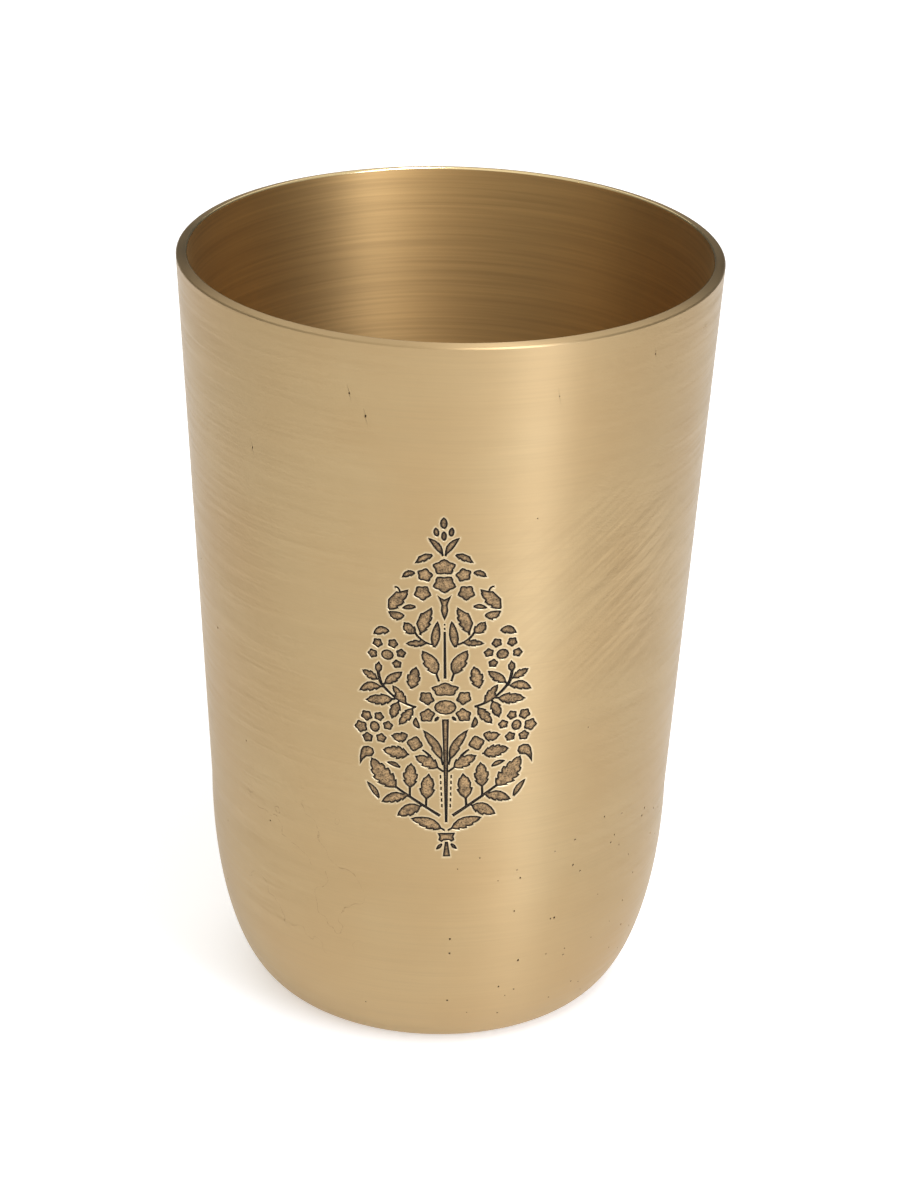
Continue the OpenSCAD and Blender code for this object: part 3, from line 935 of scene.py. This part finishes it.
def true_the_wall(mesh, wall):
    """Gives faces of the straight wall the cone's own normals, so that no facet shows round the pockets."""
    coords = np.empty(len(mesh.vertices) * 3)
    mesh.vertices.foreach_get("co", coords)
    x, y, z = coords.reshape(-1, 3).T / MM
    radius = np.hypot(x, y)
    on_wall = (abs(radius - wall.radius(z)) < ON_WALL) & (z > wall.corner - ON_WALL)
    slope = (wall.rim - wall.shoulder) / (wall.top - wall.corner)
    exact = np.column_stack([x, y, -slope * radius]) / np.maximum(radius, 1)[:, None] / math.hypot(1, slope)
    corner_vertex = np.empty(len(mesh.loops), np.int32)
    mesh.loops.foreach_get("vertex_index", corner_vertex)
    first = np.empty(len(mesh.polygons), np.int32)
    total = np.empty(len(mesh.polygons), np.int32)
    mesh.polygons.foreach_get("loop_start", first)
    mesh.polygons.foreach_get("loop_total", total)
    whole = np.minimum.reduceat(on_wall[corner_vertex], first)
    use = np.repeat(whole, total)
    normals = np.where(use[:, None], exact[corner_vertex], 0.0)
    mesh.normals_split_custom_set([tuple(n) for n in normals])


class TUMBLER_OT_body(bpy.types.Operator):
    """Turn the brass body and etch the plant's pockets into its front"""

    bl_idname = "tumbler.body"
    bl_label = "Turn Body"

    def execute(self, context):
        looks = context.scene.tumbler_looks
        wall = Wall(context.scene.tumbler_sizes)
        shell = run_nodes(profile_mesh(wall), turning_tree(), {
            "Turns": TURNS,
            "Window Turns": WINDOW_TURNS,
            "Outside Finish": brushed_brass(looks),
            "Inside Finish": turned_brass(looks),
            "Lip Finish": polished_lip_painted_highlight(),
        }, "turned shell")
        rings = [ring for node in FILL_NODES for ring in outlines(node, wall)]
        made = etched_window(wall, rings)
        made.from_mesh(shell)
        bmesh.ops.remove_doubles(made, verts=made.verts, dist=MESH_ALIKE)
        bmesh.ops.recalc_face_normals(made, faces=made.faces)
        sink_pits(made, wall)
        piece = finished(made, "tumbler_body_etched", SHARP_BRASS, shell.materials)
        true_the_wall(piece.data, wall)
        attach(piece, "root")
        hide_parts(BODY_NODE)
        return {"FINISHED"}


class TUMBLER_OT_fill(bpy.types.Operator):
    """Lay the dark fill in the etched pockets, one piece for each part of the plant"""

    bl_idname = "tumbler.fill"
    bl_label = "Lay Dark Fill"

    def execute(self, context):
        wall = Wall(context.scene.tumbler_sizes)
        lac = dark_lac(context.scene.tumbler_looks)
        for node in FILL_NODES:
            made = bmesh.new()
            layer = made.verts.layers.float.new("edge_distance")
            for ring in outlines(node, wall):
                points, faces, away, numbers = patch(ring, FILL_GRID)
                rise = np.clip(away / FILL_RISE, 0, 1)
                grain = np.array([noise.noise((x, z, 0)) for x, z in points * FILL_GRAIN_SCALE])
                depth = FILL_EDGE_DEPTH - FILL_CROWN * rise * (2 - rise) + FILL_GRAIN * grain * rise
                top = [made.verts.new(p) for p in wall.place(points, depth)]
                bottom = [made.verts.new(p) for p in wall.place(points, wall.etch - FILL_FLOOR_GAP)]
                for vert, value in zip(top, away):
                    vert[layer] = value
                for a, b, c in faces:
                    made.faces.new((top[a], top[b], top[c]))
                    made.faces.new((bottom[c], bottom[b], bottom[a]))
                for i, j in zip(numbers, numbers[1:] + numbers[:1]):
                    made.faces.new((top[i], bottom[i], bottom[j], top[j]))
            piece = finished(made, node.replace("fill_", "dark_fill_"), SHARP_FILL, [lac])
            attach(piece, "root")
            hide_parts(node)
        return {"FINISHED"}


class TUMBLER_OT_stage(bpy.types.Operator):
    """Set the white card, the soft lights and the camera"""

    bl_idname = "tumbler.stage"
    bl_label = "Set Stage"

    def execute(self, context):
        scene = context.scene
        mesh = bpy.data.meshes.new("white card")
        corners = [(x * CARD_HALF, y * CARD_HALF, CARD_Z) for x, y in ((-1, -1), (1, -1), (1, 1), (-1, 1))]
        mesh.from_pydata(corners, [], [(0, 1, 2, 3)])
        mesh.materials.append(floor_card())
        card = bpy.data.objects.new("white_card", mesh)
        scene.collection.objects.link(card)

        world = bpy.data.worlds.new("studio")
        world.use_nodes = True
        tree = world.node_tree
        way = add(tree, "ShaderNodeTexCoord").outputs["Generated"]
        at = add(tree, "ShaderNodeSeparateXYZ", {0: way}).outputs
        front = add(tree, "ShaderNodeMapRange", {
            0: at["Y"], 1: ROOM_SIDE, 2: ROOM_FRONT, 3: ROOM_DARK, 4: ROOM_BRIGHT,
        }, interpolation_type="SMOOTHSTEP").outputs[0]
        above = add(tree, "ShaderNodeMapRange", {
            0: at["Z"], 1: ROOM_ABOVE_FROM, 2: 1, 3: 0, 4: ROOM_ABOVE,
        }, interpolation_type="SMOOTHSTEP").outputs[0]
        strength = add(tree, "ShaderNodeMath", {0: front, 1: above}, operation="ADD").outputs[0]
        feed(tree, tree.nodes["Background"], {"Color": rgba(linear("#fffdf9")), "Strength": strength})
        scene.world = world
        scene.view_settings.view_transform = "Standard"

        middle = Vector((0, 0, HEIGHT / 2))
        for name, azimuth, elevation, distance, size, watts, colour in LAMPS:
            lamp = bpy.data.lights.new(name, "AREA")
            lamp.shape = "RECTANGLE"
            lamp.size, lamp.size_y = size
            lamp.energy = watts
            lamp.color = linear(colour)
            holder = bpy.data.objects.new(name, lamp)
            away = direction(azimuth, elevation)
            holder.location = middle + away * distance
            holder.rotation_euler = (-away).to_track_quat("-Z", "Y").to_euler()
            scene.collection.objects.link(holder)

        camera = bpy.data.objects.new("camera", bpy.data.cameras.new("camera"))
        camera.data.lens = LENS
        camera.data.clip_start = 0.01
        away = direction(0, CAMERA_ELEVATION)
        camera.location = Vector(CAMERA_TARGET) + away * CAMERA_DISTANCE
        facing = (-away).to_track_quat("-Z", "Y")
        camera.rotation_euler = (facing @ Quaternion((0, 0, 1), CAMERA_ROLL)).to_euler()
        scene.collection.objects.link(camera)
        scene.camera = camera
        return {"FINISHED"}


def direction(azimuth, elevation):
    """The way from the tumbler towards a viewer: azimuth 0 is in front, and 90 to its right."""
    a, e = math.radians(azimuth), math.radians(elevation)
    return Vector((math.sin(a) * math.cos(e), -math.cos(a) * math.cos(e), math.sin(e)))


class TUMBLER_PT_panel(bpy.types.Panel):
    """Lists the tumbler's steps"""

    bl_label = "Etched Brass Tumbler"
    bl_space_type = "VIEW_3D"
    bl_region_type = "UI"
    bl_category = "Tumbler"

    def draw(self, context):
        for step in STEPS:
            self.layout.operator(step.bl_idname)


STEPS = (TUMBLER_OT_body, TUMBLER_OT_fill, TUMBLER_OT_stage)
CLASSES = (TumblerSizes, TumblerLooks, *STEPS, TUMBLER_PT_panel)


def register():
    for cls in CLASSES:
        bpy.utils.register_class(cls)
    bpy.types.Scene.tumbler_sizes = bpy.props.PointerProperty(type=TumblerSizes)
    bpy.types.Scene.tumbler_looks = bpy.props.PointerProperty(type=TumblerLooks)


def unregister():
    del bpy.types.Scene.tumbler_looks
    del bpy.types.Scene.tumbler_sizes
    for cls in reversed(CLASSES):
        bpy.utils.unregister_class(cls)


def main():
    register()
    bpy.ops.tumbler.body()
    bpy.ops.tumbler.fill()
    bpy.ops.tumbler.stage()


if __name__ == "__main__":
    main()
